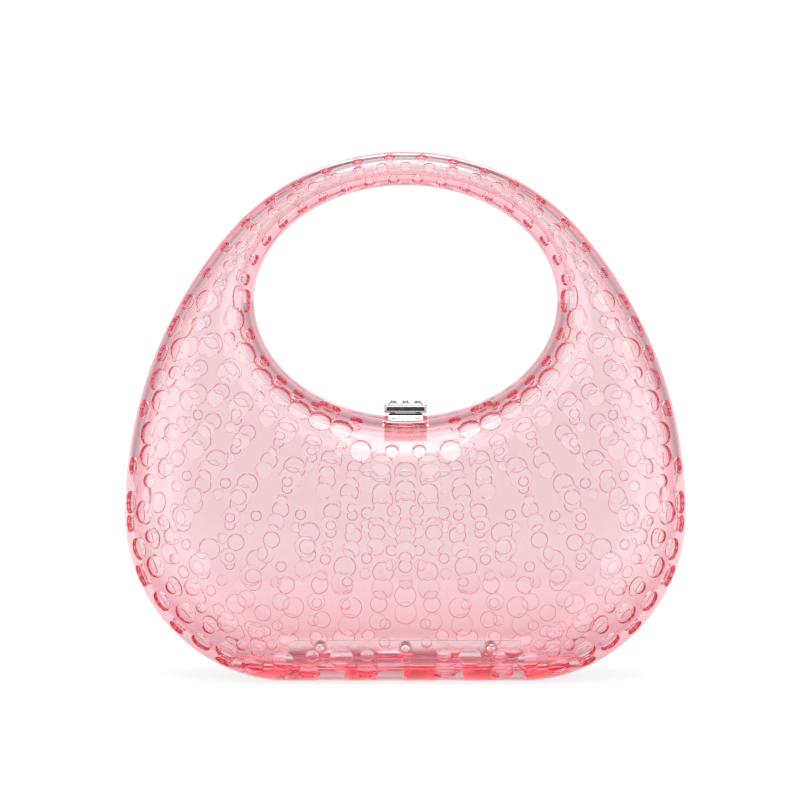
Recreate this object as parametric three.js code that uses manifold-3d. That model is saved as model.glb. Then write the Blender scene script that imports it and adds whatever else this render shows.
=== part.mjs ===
import * as THREE from "three";
import { LoftGeometry } from "three/addons/geometries/LoftGeometry.js";
import { RoundedBoxGeometry } from "three/addons/geometries/RoundedBoxGeometry.js";
import { mergeVertices } from "three/addons/utils/BufferGeometryUtils.js";
import Module from "manifold-3d";

const wasm = await Module();
wasm.setup();

// A clear acrylic evening bag: two hollow half shells that open like a clam on a hinge in the base.
// Millimetres. X runs along the width, Y through the depth with the front at minus Y, Z up from the foot.

// Outline seen from the front: flat foot, big round lower corners, long sides, arched handle.
const WIDTH = 210;
const HEIGHT = 196.5;
const CORNER_RADIUS = 62.7;
const TOP_RADIUS = 87.2;
const FOOT_CUT = 1.4;

// Oval hand hole.
const HOLE_HALF_WIDTH = 56.5;
const HOLE_HALF_HEIGHT = 43.2;
const HOLE_Z = 140.6;

// Depth of one half: full in the belly, slim at the handle, rounded off towards outline and hole.
const WALL = 3;
const BASE_THICK = 7;
const PART_GAP = 0.3;
const BELLY_DEPTH = 30;
const BELLY_Z = 35;
const HANDLE_DEPTH = 9.5;
const TAPER_POWER = 1.3;
const FOOT_ROUND = 18;
const SIDE_ROUND = 38;
const RIM_ROUND = 18;
const ROUND_POWER = 2.5;
const BLEND_POWER = 6;

// Mesh of a half: sections round the outline, stations across the outer and the inner skin.
const SECTIONS = 48;
const OUTER_STATIONS = 14;
const INNER_STATIONS = 7;

// Round flat-bottomed seats for stones, sunk into the outer skin.
const SEAT_RADIUS = 4.3;
const SEAT_DEPTH = 1.2;
const SEAT_PITCH = 27;
const SEAT_MARGIN = 1.2;
const SEAT_SIDES = 10;
const SEAT_TRIES = 1500;
const SEAT_BAND = 26;
const SEAT_TURN_STEP = 0.7548776662466927;
const SEAT_SHARE_STEP = 0.5698402909980532;

// Hinge along the base: alternating knuckles, upright leaves, three rivets a side through posts.
// The thick base has a well in front of each knuckle of its own leaf.
const HINGE_LENGTH = 88;
const HINGE_Z = 3;
const KNUCKLES = 8;
const KNUCKLE_LENGTH = HINGE_LENGTH / KNUCKLES;
const FIRST_KNUCKLE = 1;
const KNUCKLE_RADIUS = 2.3;
const KNUCKLE_GAP = 0.3;
const HINGE_BORE = 1.05;
const HINGE_PIN = 0.8;
const LEAF_THICK = 0.8;
const LEAF_FOOT = 5.6;
const LEAF_TOP = 13;
const POST_THICK = 3;
const POST_TOP = 13.4;
const POST_HALF = 4;
const CHANNEL_HALF = 2.65;
const CHANNEL_TOP = 5.7;
const WELL_FRONT = 11;
const WELL_BACK = 4.3;
const WELL_FOOT = 1.2;
const WELL_INSET = 0.5;
const RELIEF_SLOPE = 0.883;
const RIVET_SPACING = 32;
const RIVET_Z = 9.8;
const RIVET_RADIUS = 1;
const RIVET_HOLE = 1.3;
const RIVET_HEAD = 1.9;
const RIVET_HEAD_THICK = 0.8;
const SEATING_GAP = 0.1;

// Clasp at the foot of the hand hole, on a flat seat cut in the rim with a solid boss below it.
const CLASP_SEAT_Z = 96.9;
const CLASP_SEAT_HALF = 6.5;
const CLASP_SEAT_DEPTH = 9;
const BOSS_HALF = 7.9;
const BOSS_DEPTH = 8.5;
const BOSS_FOOT = 88.8;
const BOSS_TOP = 98.2;
const PRONG_X = 4.2;
const PRONG_Y = 3;
const PRONG_RADIUS = 0.9;
const PRONG_HOLE = 1.2;
const PRONG_FOOT = 91;
const PLATE_HALF = 6.2;
const PLATE_TOP = 98.1;
const CATCH_FRONT = 7.2;
const CATCH_STEP = 6.4;
const CATCH_TOP = 99.1;
const BRACKET_BACK = 4.6;
const PIVOT_Y = 3;
const PIVOT_Z = 100.6;
const EAR_RADIUS = 1.4;
const EAR_INNER = 3.8;
const EAR_OUTER = 5.7;
const BARREL_HALF = 3.4;
const TONGUE_HALF_HEIGHT = 0.7;
const CLASP_BORE = 0.9;
const CLASP_PIN = 0.6;
const LATCH_HALF = 7.85;
const LATCH_FRONT = -6.8;
const LATCH_BACK = 1.3;
const LATCH_FOOT = 99.3;
const LATCH_TOP = 102.2;
const LATCH_ROUND = 0.6;

// Three cut stones in low collets on the lever.
const STONE_SPACING = 4.6;
const STONE_RADIUS = 1.5;
const STONE_GIRDLE = 0.45;
const STONE_HEIGHT = 1.4;
const STONE_TABLE = 0.85;
const STONE_SIDES = 12;
const COLLET_OUTER = 1.95;
const COLLET_INNER = 1.65;
const COLLET_HEIGHT = 0.5;

const PIN_SIDES = 10;
const WELD = 1e-4;
const CUT_PAST = 1;

const acrylic = new THREE.MeshStandardMaterial({
  color: 0xf4a9b8, roughness: 0.05, metalness: 0, transparent: true, opacity: 0.55,
});
const nickel = new THREE.MeshStandardMaterial({ color: 0xc8c9cc, roughness: 0.18, metalness: 1 });
const crystal = new THREE.MeshStandardMaterial({ color: 0xf2f6fb, roughness: 0.02, metalness: 0 });

// Turns a three.js shape into a closed solid that can be joined and cut.
function solid(geometry) {
  const bare = new THREE.BufferGeometry();
  bare.setAttribute("position", geometry.attributes.position);
  bare.setIndex(geometry.index);
  const welded = mergeVertices(bare, WELD);
  const corners = welded.index.array;
  const kept = [];
  for (let i = 0; i < corners.length; i += 3) {
    const [a, b, c] = [corners[i], corners[i + 1], corners[i + 2]];
    if (a !== b && b !== c && c !== a) kept.push(a, b, c);
  }
  return new wasm.Manifold(new wasm.Mesh({
    numProp: 3,
    vertProperties: Float32Array.from(welded.attributes.position.array),
    triVerts: Uint32Array.from(kept),
  }));
}

function piece(name, body, material) {
  const built = body.getMesh();
  const geometry = new THREE.BufferGeometry();
  geometry.setAttribute("position", new THREE.BufferAttribute(built.vertProperties, 3));
  geometry.setIndex(new THREE.BufferAttribute(built.triVerts, 1));
  geometry.computeVertexNormals();
  const mesh = new THREE.Mesh(geometry, material);
  mesh.name = name;
  return mesh;
}

function block([x0, x1], [y0, y1], [z0, z1]) {
  const box = new THREE.BoxGeometry(x1 - x0, y1 - y0, z1 - z0);
  return solid(box.translate((x0 + x1) / 2, (y0 + y1) / 2, (z0 + z1) / 2));
}

function rodAlongX(radius, [x0, x1], y, z) {
  const rod = new THREE.CylinderGeometry(radius, radius, x1 - x0, PIN_SIDES);
  return solid(rod.rotateZ(Math.PI / 2).translate((x0 + x1) / 2, y, z));
}

function rodAlongY(radius, x, [y0, y1], z) {
  const rod = new THREE.CylinderGeometry(radius, radius, y1 - y0, PIN_SIDES);
  return solid(rod.translate(x, (y0 + y1) / 2, z));
}

function rodAlongZ(radius, x, y, [z0, z1]) {
  const rod = new THREE.CylinderGeometry(radius, radius, z1 - z0, PIN_SIDES);
  return solid(rod.rotateX(Math.PI / 2).translate(x, y, (z0 + z1) / 2));
}

// The outline as arcs that run into one another, from the middle of the foot round to the right.
// The inner skin uses the same arcs moved in by the wall.
const CORNER_X = WIDTH / 2 - CORNER_RADIUS;
const CORNER_Z = CORNER_RADIUS - FOOT_CUT;
const TOP_Z = HEIGHT - TOP_RADIUS;
const SIDE_RISE = TOP_Z - CORNER_Z;
const SIDE_RADIUS = ((WIDTH / 2) ** 2 + SIDE_RISE ** 2 - TOP_RADIUS ** 2) / (WIDTH - 2 * TOP_RADIUS);
const SIDE_X = WIDTH / 2 - SIDE_RADIUS;
const JOIN_ANGLE = Math.atan2(SIDE_RISE, -SIDE_X);

function outlinePath(inset) {
  const path = new THREE.Path();
  path.moveTo(0, inset - FOOT_CUT);
  path.lineTo(CORNER_X, inset - FOOT_CUT);
  path.absarc(CORNER_X, CORNER_Z, CORNER_RADIUS - inset, -Math.PI / 2, 0);
  path.absarc(SIDE_X, CORNER_Z, SIDE_RADIUS - inset, 0, JOIN_ANGLE);
  path.absarc(0, TOP_Z, TOP_RADIUS - inset, JOIN_ANGLE, Math.PI - JOIN_ANGLE);
  path.absarc(-SIDE_X, CORNER_Z, SIDE_RADIUS - inset, Math.PI - JOIN_ANGLE, Math.PI);
  path.absarc(-CORNER_X, CORNER_Z, CORNER_RADIUS - inset, Math.PI, 1.5 * Math.PI);
  path.lineTo(0, inset - FOOT_CUT);
  return path;
}

function softMin(a, b) {
  return a * b / (a ** BLEND_POWER + b ** BLEND_POWER) ** (1 / BLEND_POWER);
}

// Rises from 0 at the edge to 1 at the end of the rounding, square to the edge at its start.
function roundOff(climb) {
  return (1 - (1 - Math.min(climb, 1)) ** ROUND_POWER) ** (1 / ROUND_POWER);
}

function halfDepth(z) {
  const climb = THREE.MathUtils.clamp((z - BELLY_Z) / (HEIGHT - BELLY_Z), 0, 1);
  return BELLY_DEPTH - (BELLY_DEPTH - HANDLE_DEPTH) * climb ** TAPER_POWER;
}

// A point of the front half's skin: share 0 is on the outline, 1 on the rim of the hand hole.
function skinPoint(edge, share, inset) {
  const centre = new THREE.Vector2(0, HOLE_Z);
  const ray = edge.clone().sub(centre);
  const reach = 1 / Math.hypot(ray.x / (HOLE_HALF_WIDTH + inset), ray.y / (HOLE_HALF_HEIGHT + inset));
  const rim = ray.clone().multiplyScalar(reach).add(centre);
  const band = edge.distanceTo(rim);
  const sideways = THREE.MathUtils.smoothstep(Math.abs(edge.x), CORNER_X, WIDTH / 2);
  const edgeRound = softMin(THREE.MathUtils.lerp(FOOT_ROUND, SIDE_ROUND, sideways) - inset, band / 2);
  const rimRound = softMin(RIM_ROUND - inset, band / 2);
  const spot = edge.clone().lerp(rim, share);
  const fullness = roundOff(share * band / edgeRound) * roundOff((1 - share) * band / rimRound);
  const y = -PART_GAP / 2 - (halfDepth(spot.y) - inset) * fullness;
  return { point: new THREE.Vector3(spot.x, y, Math.max(spot.y, inset > 0 ? BASE_THICK : 0)), band };
}

function stations(count) {
  return Array.from({ length: count + 1 }, (_, j) => (1 - Math.cos(Math.PI * j / count)) / 2);
}

// A half shell: one closed wall section after another, all the way round the hand hole.
function halfShell() {
  const outerEdge = outlinePath(0).getSpacedPoints(SECTIONS);
  const innerEdge = outlinePath(WALL).getSpacedPoints(SECTIONS);
  const loops = outerEdge.map((edge, i) => [
    ...stations(INNER_STATIONS).map((share) => skinPoint(innerEdge[i], share, WALL).point),
    ...stations(OUTER_STATIONS).reverse().map((share) => skinPoint(edge, share, 0).point),
  ]);
  return solid(new LoftGeometry(loops));
}

// Seats spread evenly over one side of the skin and mirrored to the other, clear of rims and foot.
function seatSpots() {
  const path = outlinePath(0);
  const step = 1e-3;
  const spots = [];
  for (let k = 1; k <= SEAT_TRIES; k += 1) {
    const turn = 0.5 * ((k * SEAT_TURN_STEP) % 1);
    const share = (k * SEAT_SHARE_STEP) % 1;
    const { point, band } = skinPoint(path.getPointAt(turn), share, 0);
    const along = skinPoint(path.getPointAt(Math.min(turn + step, 1)), share, 0).point.sub(point);
    const across = skinPoint(path.getPointAt(turn), Math.min(share + step, 1), 0).point.sub(point);
    const normal = across.cross(along).normalize();
    const lowest = point.z - SEAT_RADIUS * Math.sqrt(1 - normal.z ** 2);
    const nearest = -point.y - SEAT_RADIUS * Math.sqrt(1 - normal.y ** 2);
    const clear = spots.every((other) => other.point.distanceTo(point) > SEAT_PITCH);
    const ownSide = point.x > SEAT_PITCH / 2;
    if (band > SEAT_BAND && lowest > SEAT_MARGIN && nearest > SEAT_MARGIN && clear && ownSide) {
      spots.push({ point, normal });
    }
  }
  return spots;
}

function seatCutter({ point, normal }) {
  const cutter = new THREE.CylinderGeometry(SEAT_RADIUS, SEAT_RADIUS, 2 * SEAT_DEPTH, SEAT_SIDES);
  const turn = new THREE.Quaternion().setFromUnitVectors(new THREE.Vector3(0, 1, 0), normal);
  return solid(cutter.applyQuaternion(turn).translate(point.x, point.y, point.z));
}

function knuckleSpan(k, margin) {
  const start = -HINGE_LENGTH / 2 + k * KNUCKLE_LENGTH;
  return [start + margin, start + KNUCKLE_LENGTH - margin];
}

function finishedShell() {
  const postFace = PART_GAP / 2 + LEAF_THICK + SEATING_GAP;
  const channelHalf = HINGE_LENGTH / 2 + KNUCKLE_GAP;
  const hingeSpan = [-channelHalf, channelHalf];
  const boss = block([-BOSS_HALF, BOSS_HALF], [-BOSS_DEPTH, -PART_GAP / 2], [BOSS_FOOT, BOSS_TOP]);
  let shell = halfShell().add(boss);
  for (const place of [-1, 0, 1]) {
    const x = place * RIVET_SPACING;
    const depth = [-postFace - POST_THICK, -postFace];
    shell = shell.add(block([x - POST_HALF, x + POST_HALF], depth, [CHANNEL_TOP, POST_TOP]));
  }
  const channel = block(hingeSpan, [-CHANNEL_HALF, CUT_PAST], [-CUT_PAST, CHANNEL_TOP]);
  const leafSlot = block(hingeSpan, [-postFace, CUT_PAST], [HINGE_Z, BASE_THICK + CUT_PAST]);
  shell = shell.subtract(channel).subtract(leafSlot);
  for (let k = FIRST_KNUCKLE; k < KNUCKLES; k += 2) {
    const height = [WELL_FOOT, BASE_THICK + CUT_PAST];
    shell = shell.subtract(block(knuckleSpan(k, WELL_INSET), [-WELL_FRONT, -WELL_BACK], height));
  }
  const relief = new THREE.Shape([
    new THREE.Vector2(CUT_PAST, HINGE_Z),
    new THREE.Vector2(0, HINGE_Z),
    new THREE.Vector2(-RELIEF_SLOPE * (HINGE_Z + CUT_PAST), -CUT_PAST),
    new THREE.Vector2(CUT_PAST, -CUT_PAST),
  ]);
  const wedge = new THREE.ExtrudeGeometry(relief, { depth: WIDTH, bevelEnabled: false });
  wedge.rotateX(Math.PI / 2).rotateZ(Math.PI / 2).translate(-WIDTH / 2, 0, 0);
  const seat = block(
    [-CLASP_SEAT_HALF, CLASP_SEAT_HALF],
    [-CLASP_SEAT_DEPTH, CUT_PAST],
    [CLASP_SEAT_Z, CLASP_SEAT_Z + 2 * CUT_PAST],
  );
  shell = shell.subtract(solid(wedge)).subtract(seat);
  for (const side of [-1, 1]) {
    const hole = [PRONG_FOOT - PART_GAP, CLASP_SEAT_Z + CUT_PAST];
    shell = shell.subtract(rodAlongZ(PRONG_HOLE, side * PRONG_X, -PRONG_Y, hole));
  }
  for (const place of [-1, 0, 1]) {
    const hole = [-postFace - POST_THICK - CUT_PAST, CUT_PAST];
    shell = shell.subtract(rodAlongY(RIVET_HOLE, place * RIVET_SPACING, hole, RIVET_Z));
  }
  return shell;
}

// A hinge leaf: an upright plate whose webs run down to every second knuckle.
function hingeLeaf() {
  const [front, back] = [-PART_GAP / 2 - LEAF_THICK, -PART_GAP / 2];
  let leaf = block([-HINGE_LENGTH / 2, HINGE_LENGTH / 2], [front, back], [LEAF_FOOT, LEAF_TOP]);
  for (let k = FIRST_KNUCKLE; k < KNUCKLES; k += 2) {
    const span = knuckleSpan(k, KNUCKLE_GAP / 2);
    leaf = leaf.add(block(span, [front, back], [HINGE_Z, LEAF_FOOT + LEAF_THICK]));
    leaf = leaf.add(rodAlongX(KNUCKLE_RADIUS, span, 0, HINGE_Z));
  }
  leaf = leaf.subtract(rodAlongX(HINGE_BORE, [-HINGE_LENGTH, HINGE_LENGTH], 0, HINGE_Z));
  for (const place of [-1, 0, 1]) {
    const hole = [front - CUT_PAST, CUT_PAST];
    leaf = leaf.subtract(rodAlongY(RIVET_HOLE, place * RIVET_SPACING, hole, RIVET_Z));
  }
  return leaf;
}

function hingeRivet(place) {
  const x = place * RIVET_SPACING;
  const postFront = -PART_GAP / 2 - LEAF_THICK - POST_THICK - 2 * SEATING_GAP;
  const shank = rodAlongY(RIVET_RADIUS, x, [postFront - SEATING_GAP, -PART_GAP], RIVET_Z);
  const head = rodAlongY(RIVET_HEAD, x, [postFront - RIVET_HEAD_THICK, postFront], RIVET_Z);
  return shank.add(head);
}

// The metal pressed into the rim: a plate with two prongs that go down into the boss.
function prongedPlate([y0, y1]) {
  let plate = block([-PLATE_HALF, PLATE_HALF], [y0, y1], [CLASP_SEAT_Z + SEATING_GAP, PLATE_TOP]);
  const y = Math.sign(y0 + y1) * PRONG_Y;
  const height = [PRONG_FOOT, PLATE_TOP - SEATING_GAP];
  for (const side of [-1, 1]) {
    plate = plate.add(rodAlongZ(PRONG_RADIUS, side * PRONG_X, y, height));
  }
  return plate;
}

function claspCatch() {
  const height = [PLATE_TOP - SEATING_GAP, CATCH_TOP];
  const step = block([-PLATE_HALF, PLATE_HALF], [-CATCH_STEP, -PART_GAP], height);
  return prongedPlate([-CATCH_FRONT, -PART_GAP]).add(step);
}

function claspBracket() {
  let bracket = prongedPlate([PART_GAP, BRACKET_BACK]);
  const depth = [PIVOT_Y - EAR_RADIUS, PIVOT_Y + EAR_RADIUS];
  const height = [PLATE_TOP - SEATING_GAP, PIVOT_Z];
  for (const side of [-1, 1]) {
    const span = side > 0 ? [EAR_INNER, EAR_OUTER] : [-EAR_OUTER, -EAR_INNER];
    bracket = bracket.add(block(span, depth, height));
    bracket = bracket.add(rodAlongX(EAR_RADIUS, span, PIVOT_Y, PIVOT_Z));
  }
  return bracket.subtract(rodAlongX(CLASP_BORE, [-WIDTH, WIDTH], PIVOT_Y, PIVOT_Z));
}

const STONE_Y = (LATCH_FRONT + LATCH_BACK) / 2;

function claspLatch() {
  const bar = new RoundedBoxGeometry(
    2 * LATCH_HALF, LATCH_BACK - LATCH_FRONT, LATCH_TOP - LATCH_FOOT, 1, LATCH_ROUND,
  );
  bar.translate(0, STONE_Y, (LATCH_FOOT + LATCH_TOP) / 2);
  const span = [-BARREL_HALF, BARREL_HALF];
  const height = [PIVOT_Z - TONGUE_HALF_HEIGHT, PIVOT_Z + TONGUE_HALF_HEIGHT];
  const tongue = block(span, [LATCH_BACK - CUT_PAST, PIVOT_Y], height);
  let latch = solid(bar).add(tongue).add(rodAlongX(EAR_RADIUS, span, PIVOT_Y, PIVOT_Z));
  latch = latch.subtract(rodAlongX(CLASP_BORE, [-WIDTH, WIDTH], PIVOT_Y, PIVOT_Z));
  for (const place of [-1, 0, 1]) {
    const x = place * STONE_SPACING;
    const colletSpan = [LATCH_TOP - SEATING_GAP, LATCH_TOP + COLLET_HEIGHT];
    const ring = rodAlongZ(COLLET_OUTER, x, STONE_Y, colletSpan);
    const bore = rodAlongZ(COLLET_INNER, x, STONE_Y, [LATCH_TOP, LATCH_TOP + CUT_PAST]);
    latch = latch.add(ring.subtract(bore));
  }
  return latch;
}

// A flat-backed stone: upright girdle, a ring of crown facets, a flat table.
function claspStone(place) {
  const profile = [
    new THREE.Vector2(0, 0),
    new THREE.Vector2(STONE_RADIUS, 0),
    new THREE.Vector2(STONE_RADIUS, STONE_GIRDLE),
    new THREE.Vector2(STONE_TABLE, STONE_HEIGHT),
    new THREE.Vector2(0, STONE_HEIGHT),
  ];
  const stone = new THREE.LatheGeometry(profile, STONE_SIDES);
  stone.rotateX(Math.PI / 2).translate(place * STONE_SPACING, STONE_Y, LATCH_TOP + SEATING_GAP);
  return solid(stone);
}

const shell = finishedShell();
const seats = seatSpots().map(seatCutter);
const mirrored = seats.map((seat) => seat.mirror([1, 0, 0]));
const seatedShell = [...seats, ...mirrored].reduce((body, seat) => body.subtract(seat), shell);

// Each half: shell, hinge leaf and rivets. The back half is the front one turned round.
function half(side) {
  const group = new THREE.Group();
  group.add(piece(`${side}_shell`, seatedShell, acrylic));
  group.add(piece(`${side}_hinge_leaf`, hingeLeaf(), nickel));
  [-1, 0, 1].forEach((place, i) => {
    group.add(piece(`${side}_hinge_rivet_${i + 1}`, hingeRivet(place), nickel));
  });
  return group;
}

const bag = new THREE.Group();
bag.add(half("front"));
const back = half("back");
back.rotation.z = Math.PI;
bag.add(back);

const pinHalf = HINGE_LENGTH / 2;
bag.add(piece("hinge_pin", rodAlongX(HINGE_PIN, [-pinHalf, pinHalf], 0, HINGE_Z), nickel));

bag.add(piece("clasp_catch", claspCatch(), nickel));
bag.add(piece("clasp_bracket", claspBracket(), nickel));
bag.add(piece("clasp_pin", rodAlongX(CLASP_PIN, [-EAR_OUTER, EAR_OUTER], PIVOT_Y, PIVOT_Z), nickel));
bag.add(piece("clasp_latch", claspLatch(), nickel));
[-1, 0, 1].forEach((place, i) => {
  bag.add(piece(`clasp_stone_${i + 1}`, claspStone(place), crystal));
});

export default bag;
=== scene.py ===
import math

import bpy
import numpy as np
from mathutils import Matrix, Vector


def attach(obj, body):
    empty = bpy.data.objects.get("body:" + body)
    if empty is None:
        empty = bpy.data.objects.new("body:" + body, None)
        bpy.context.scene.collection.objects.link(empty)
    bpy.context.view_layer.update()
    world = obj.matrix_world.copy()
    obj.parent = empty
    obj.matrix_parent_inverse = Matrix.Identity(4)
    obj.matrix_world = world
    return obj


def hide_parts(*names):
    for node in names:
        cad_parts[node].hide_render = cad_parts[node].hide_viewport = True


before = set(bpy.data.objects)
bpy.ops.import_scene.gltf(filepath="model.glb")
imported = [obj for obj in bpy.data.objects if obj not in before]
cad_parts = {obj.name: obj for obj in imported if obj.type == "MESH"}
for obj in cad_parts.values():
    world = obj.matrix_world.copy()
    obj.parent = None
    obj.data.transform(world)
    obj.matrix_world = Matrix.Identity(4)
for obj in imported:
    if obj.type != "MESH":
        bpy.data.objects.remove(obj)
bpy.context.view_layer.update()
bpy.ops.object.select_all(action="DESELECT")

# The half shells.
# The body is two hollow halves moulded in clear pink acrylic with 3 mm walls, one moulding used twice and
# turned round. Arcs that run into one another give the outline, and an oval hand hole leaves the handle.
MM = 0.001
WIDTH = 210.0
HEIGHT = 196.5
CORNER_RADIUS = 62.7
TOP_RADIUS = 87.2
FOOT_CUT = 1.4
HOLE_HALF_WIDTH = 56.5
HOLE_HALF_HEIGHT = 43.2
HOLE_Z = 140.6
WALL = 3.0
BASE_THICK = 7.0
PART_GAP = 0.3
BELLY_DEPTH = 30.0
BELLY_Z = 35.0
HANDLE_DEPTH = 9.5
TAPER_POWER = 1.3
FOOT_ROUND = 18.0
SIDE_ROUND = 38.0
RIM_ROUND = 18.0
ROUND_POWER = 2.5
BLEND_POWER = 6

CORNER_X = WIDTH / 2 - CORNER_RADIUS
CORNER_Z = CORNER_RADIUS - FOOT_CUT
TOP_Z = HEIGHT - TOP_RADIUS
SIDE_RISE = TOP_Z - CORNER_Z
SIDE_RADIUS = ((WIDTH / 2) ** 2 + SIDE_RISE ** 2 - TOP_RADIUS ** 2) / (WIDTH - 2 * TOP_RADIUS)
SIDE_X = WIDTH / 2 - SIDE_RADIUS
JOIN_ANGLE = math.atan2(SIDE_RISE, -SIDE_X)


def outline_at(turn, inset):
    """Width and height on the outline; turn 0 is the middle of the foot, and it goes round to the right."""
    corner, flank, top = CORNER_RADIUS - inset, SIDE_RADIUS - inset, TOP_RADIUS - inset
    ends = np.cumsum([CORNER_X, corner * math.pi / 2, flank * JOIN_ANGLE, top * (math.pi / 2 - JOIN_ANGLE)])
    run = np.minimum(turn, 1 - turn) * 2 * ends[-1]
    low = (run - ends[0]) / corner - math.pi / 2
    mid = (run - ends[1]) / flank
    high = (run - ends[2]) / top + JOIN_ANGLE
    where = [run <= ends[0], run <= ends[1], run <= ends[2]]
    x = np.select(where, [run, CORNER_X + corner * np.cos(low), SIDE_X + flank * np.cos(mid)],
                  top * np.cos(high))
    z = np.select(where, [np.full_like(run, inset - FOOT_CUT), CORNER_Z + corner * np.sin(low),
                          CORNER_Z + flank * np.sin(mid)], TOP_Z + top * np.sin(high))
    return np.where(turn <= 0.5, x, -x), z


def soft_least(a, b):
    """The smaller of two lengths, with a smooth change from one to the other."""
    return a * b / (a ** BLEND_POWER + b ** BLEND_POWER) ** (1 / BLEND_POWER)


def round_off(climb):
    """Rises from 0 at an edge to 1 at the end of its rounding, square to the edge at its start."""
    return (1 - (1 - np.minimum(climb, 1)) ** ROUND_POWER) ** (1 / ROUND_POWER)


def skin_at(turn, share, inset=0.0):
    """Points in mm of the front half's skin and the band from outline (share 0) to hand hole (share 1)."""
    edge_x, edge_z = outline_at(turn, inset)
    reach = 1 / np.hypot(edge_x / (HOLE_HALF_WIDTH + inset), (edge_z - HOLE_Z) / (HOLE_HALF_HEIGHT + inset))
    rim_x, rim_z = edge_x * reach, HOLE_Z + (edge_z - HOLE_Z) * reach
    band = np.hypot(edge_x - rim_x, edge_z - rim_z)
    climb = np.clip((np.abs(edge_x) - CORNER_X) / (WIDTH / 2 - CORNER_X), 0, 1)
    sideways = climb * climb * (3 - 2 * climb)
    edge_round = soft_least(FOOT_ROUND + (SIDE_ROUND - FOOT_ROUND) * sideways - inset, band / 2)
    rim_round = soft_least(RIM_ROUND - inset, band / 2)
    x, z = edge_x + (rim_x - edge_x) * share, edge_z + (rim_z - edge_z) * share
    taper = np.clip((z - BELLY_Z) / (HEIGHT - BELLY_Z), 0, 1) ** TAPER_POWER
    depth = BELLY_DEPTH - (BELLY_DEPTH - HANDLE_DEPTH) * taper - inset
    y = -PART_GAP / 2 - (depth * round_off(share * band / edge_round)
                         * round_off((1 - share) * band / rim_round))
    return np.stack([x, y, np.maximum(z, BASE_THICK if inset else 0.0)], axis=-1), band


# The wall is a ring of closed sections round the hand hole, so it starts as a torus whose rings take the
# sections' places: the outer skin from outline to hand hole, then the inner skin back again.
SECTIONS = 256
OUTER_STATIONS = 60
INNER_STATIONS = 40

turns = np.arange(SECTIONS) / SECTIONS
outer_shares, inner_shares = [(1 - np.cos(np.linspace(0, math.pi, count + 1))) / 2
                              for count in (OUTER_STATIONS, INNER_STATIONS)]
outer_skin, _ = skin_at(turns[:, None], outer_shares[None, :])
inner_skin, _ = skin_at(turns[:, None], inner_shares[None, ::-1], WALL)
wall_rings = np.concatenate([outer_skin, inner_skin], axis=1)
bpy.ops.mesh.primitive_torus_add(major_segments=SECTIONS, minor_segments=wall_rings.shape[1])
front_shell = bpy.context.object
front_shell.name = front_shell.data.name = "front_shell_moulding"
front_shell.data.vertices.foreach_set("co", (wall_rings * MM).ravel())
bpy.ops.object.mode_set(mode="EDIT")
bpy.ops.mesh.select_all(action="SELECT")
bpy.ops.mesh.normals_make_consistent(inside=False)
bpy.ops.object.mode_set(mode="OBJECT")


def bar(x, y, z, edge=0.0):
    """A rectangular bar between the given limits in mm, its edges broken by the given radius."""
    bpy.ops.object.select_all(action="DESELECT")
    middle = [(a + b) / 2 * MM for a, b in (x, y, z)]
    bpy.ops.mesh.primitive_cube_add(size=1, location=middle, scale=[(b - a) * MM for a, b in (x, y, z)])
    bpy.ops.object.transform_apply(location=True, rotation=True, scale=True)
    if edge:
        bpy.ops.object.mode_set(mode="EDIT")
        bpy.ops.mesh.bevel(offset=edge * MM, segments=3, affect="EDGES")
        bpy.ops.object.mode_set(mode="OBJECT")
    return bpy.context.object


def rod(radius, start, end, sides=32):
    """A round rod in mm between two points."""
    bpy.ops.object.select_all(action="DESELECT")
    start, end = Vector(start), Vector(end)
    turn = (end - start).to_track_quat("Z", "Y").to_euler()
    bpy.ops.mesh.primitive_cylinder_add(vertices=sides, radius=radius * MM, depth=(end - start).length * MM,
                                        location=(start + end) / 2 * MM, rotation=turn)
    bpy.ops.object.transform_apply(location=True, rotation=True, scale=True)
    return bpy.context.object


def combine(piece, tools, how):
    """Joins tools to a piece or cuts them out of it, and uses them up."""
    for tool in tools:
        step = piece.modifiers.new("combine", "BOOLEAN")
        step.operation, step.solver, step.object = how, "MANIFOLD", tool
        bpy.context.view_layer.objects.active = piece
        bpy.ops.object.modifier_apply(modifier=step.name)
        bpy.data.meshes.remove(tool.data)


# The thick base carries three posts for the hinge leaf, and under the clasp is a solid boss with a wedge in
# front. A channel and wells for the knuckles, a slope that lets the halves swing, the clasp's flat and the
# holes for prongs and rivets are cut.
HINGE_LENGTH = 88.0
HINGE_Z = 3.0
LEAF_THICK = 0.8
KNUCKLES = 8
KNUCKLE = HINGE_LENGTH / KNUCKLES
KNUCKLE_STARTS = [place * KNUCKLE - HINGE_LENGTH / 2 for place in range(1, KNUCKLES, 2)]
SEATING_GAP = 0.1
CUT_PAST = 1.0
TOUCH = 0.1
WELL_FRONT = 11.0
WELL_BACK = 4.3
WELL_FOOT = 1.2
WELL_WALL = 0.5
POST_THICK = 3.0
POST_FACE = PART_GAP / 2 + LEAF_THICK + SEATING_GAP
POST_BACK = POST_FACE + POST_THICK
POST_HALF = 2.7
CHANNEL_HALF = HINGE_LENGTH / 2 + PART_GAP
CHANNEL_FRONT = 2.65
CHANNEL_TOP = 5.7
RIVET_PLACES = (-32.0, 0.0, 32.0)
RIVET_Z = 9.8
RIVET_HOLE = 1.3
SWING_SLOPE = 0.883
SWING_DROP = 6.0
SWING_EDGE = 0.004
CLASP_SEAT_Z = 96.9
CLASP_SEAT_HALF = 6.5
CLASP_SEAT_DEPTH = 9.0
BOSS_HALF = 7.9
BOSS_FRONT = 8.5
BOSS_FOOT = 88.8
BOSS_TOP = 98.2
BOSS_EDGE = 0.3
WEDGE_FRONT = 12.0
WEDGE_BACK = 7.0
WEDGE_TOP = 96.5
WEDGE_FALL = 2.0
PRONG_X = 4.2
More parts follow.
